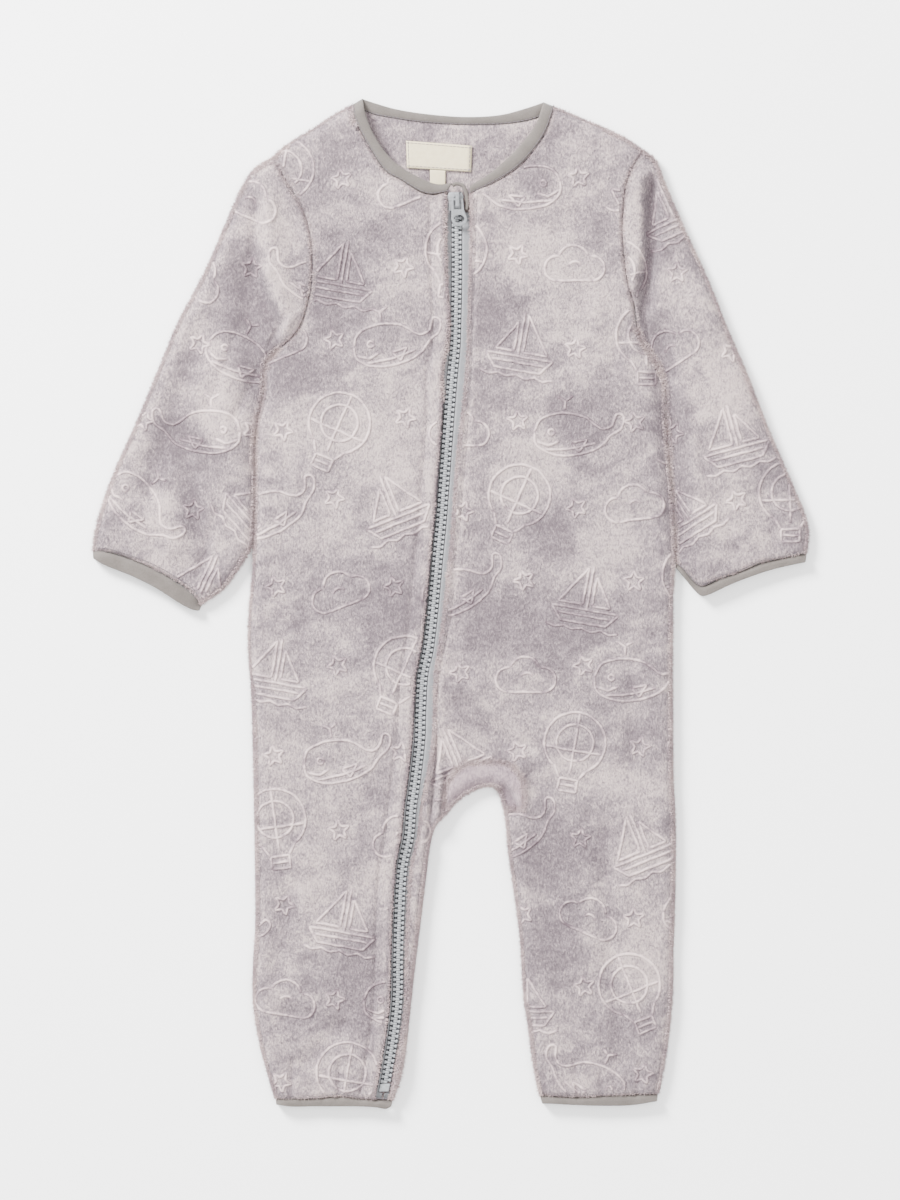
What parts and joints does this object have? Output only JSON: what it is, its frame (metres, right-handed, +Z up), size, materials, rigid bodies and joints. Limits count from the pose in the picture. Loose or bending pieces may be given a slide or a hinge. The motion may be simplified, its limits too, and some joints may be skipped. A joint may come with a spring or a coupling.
{
  "type": "fleece onesie",
  "caption": "Baby's long-sleeved fleece all-in-one, laid flat, with a front zip that runs down to the right hem and bound neck, cuffs and hems.",
  "frame": {"origin": "middle of the garment's outline, on the surface it lies on", "axes": "+X to the wearer's left, +Y towards the neck, +Z up off the surface, out of the front"},
  "size_m": [0.465, 0.6566, 0.0115],
  "materials": {
    "fleece": "dense velvet-like fleece",
    "gusset_fleece": "shorter, smoother fleece",
    "jersey": "fine ribbed jersey binding",
    "zip_tape": "woven polyester tape",
    "zip_teeth": "moulded plastic",
    "zip_metal": "enamelled zinc",
    "label_cloth": "woven label"
  },
  "bodies": {
    "garment": {"back": "fleece", "front_right": "fleece", "front_left": "fleece", "sleeve_right": "fleece", "sleeve_left": "fleece", "crotch_gusset": "gusset_fleece", "neck_binding": "jersey", "cuff_binding_right": "jersey", "cuff_binding_left": "jersey", "hem_binding_right": "jersey", "hem_binding_left": "jersey", "zip_tape_right": "zip_tape", "zip_tape_left": "zip_tape", "zip_chain": "zip_teeth", "zip_stop": "zip_teeth", "zip_slider": "zip_metal", "zip_guard": "fleece", "neck_label": "label_cloth", "size_tab": "label_cloth"},
    "pull_tab": {"pull_tab": "zip_metal"}
  },
  "joints": [
    {"name": "pull_tab_hinge", "type": "hinge", "parent": "garment", "child": "pull_tab", "pos_m": [0.00473, 0.26244, 0.0093], "axis": [-1, 0, 0], "range_deg": [0, 165]}
  ]
}
